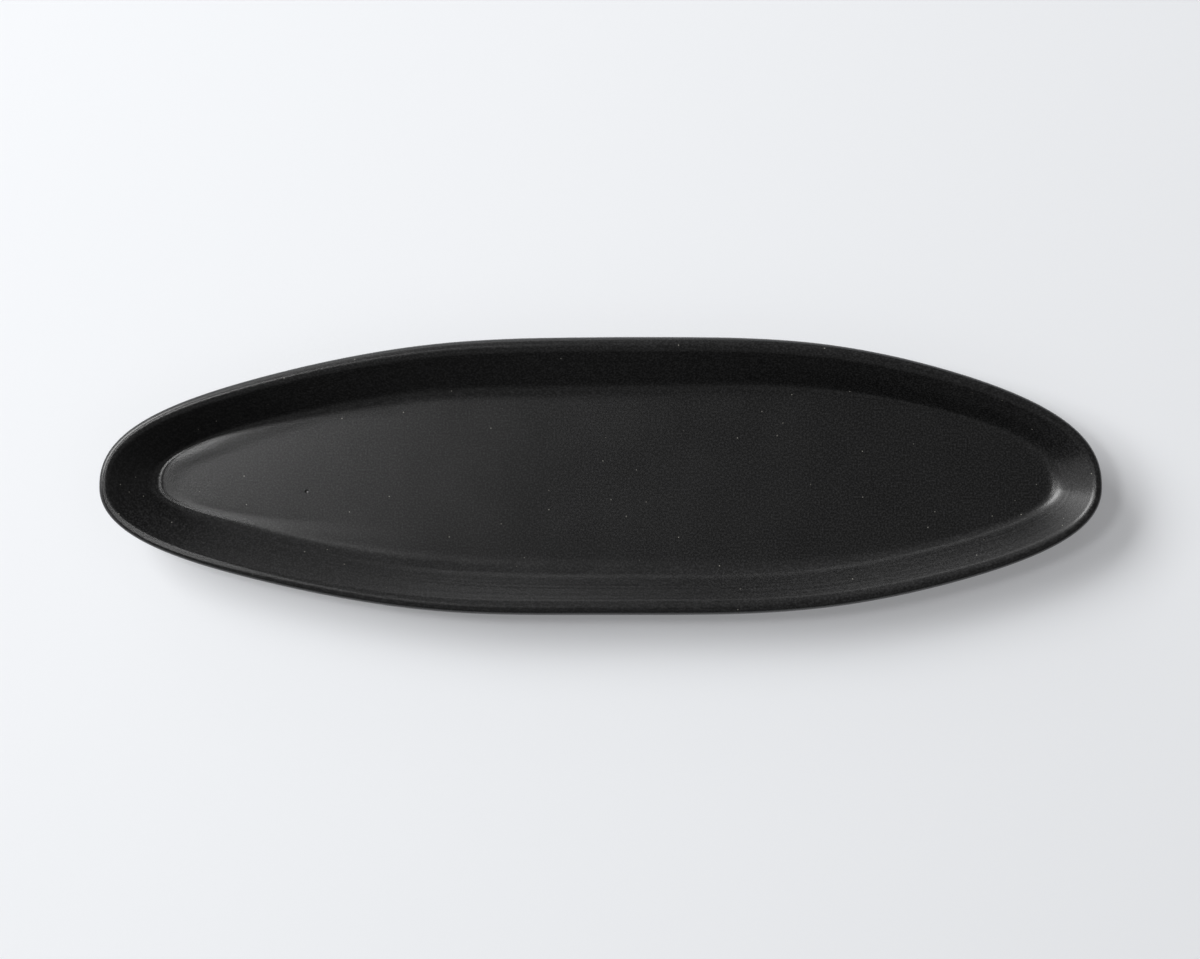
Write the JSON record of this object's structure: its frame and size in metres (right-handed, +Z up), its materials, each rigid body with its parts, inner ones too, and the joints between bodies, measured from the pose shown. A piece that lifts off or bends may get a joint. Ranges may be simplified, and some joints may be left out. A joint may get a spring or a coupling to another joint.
{
  "type": "appetizer tray",
  "caption": "Long oval stoneware tray with a flat floor, coved flared wall, rounded rim and oval foot, in satin black glaze, for serving small foods.",
  "frame": {"origin": "on the plane of the foot's sole, under the middle of the rim's outline", "axes": "+X along the tray's length towards its fuller end, +Y across its width, +Z up out of the well"},
  "size_m": [0.4569, 0.1269, 0.024],
  "materials": {
    "stoneware": "bare fired clay, matte",
    "slip": "fired slip, matte",
    "black_glaze": "satin black glaze with fine specks"
  },
  "bodies": {
    "root": {"floor_slab": "stoneware", "wall_ring": "stoneware", "foot_ring": "stoneware", "floor_seam": "slip", "foot_seam": "slip", "glaze_coat": "black_glaze", "base_glaze": "black_glaze"}
  },
  "joints": []
}
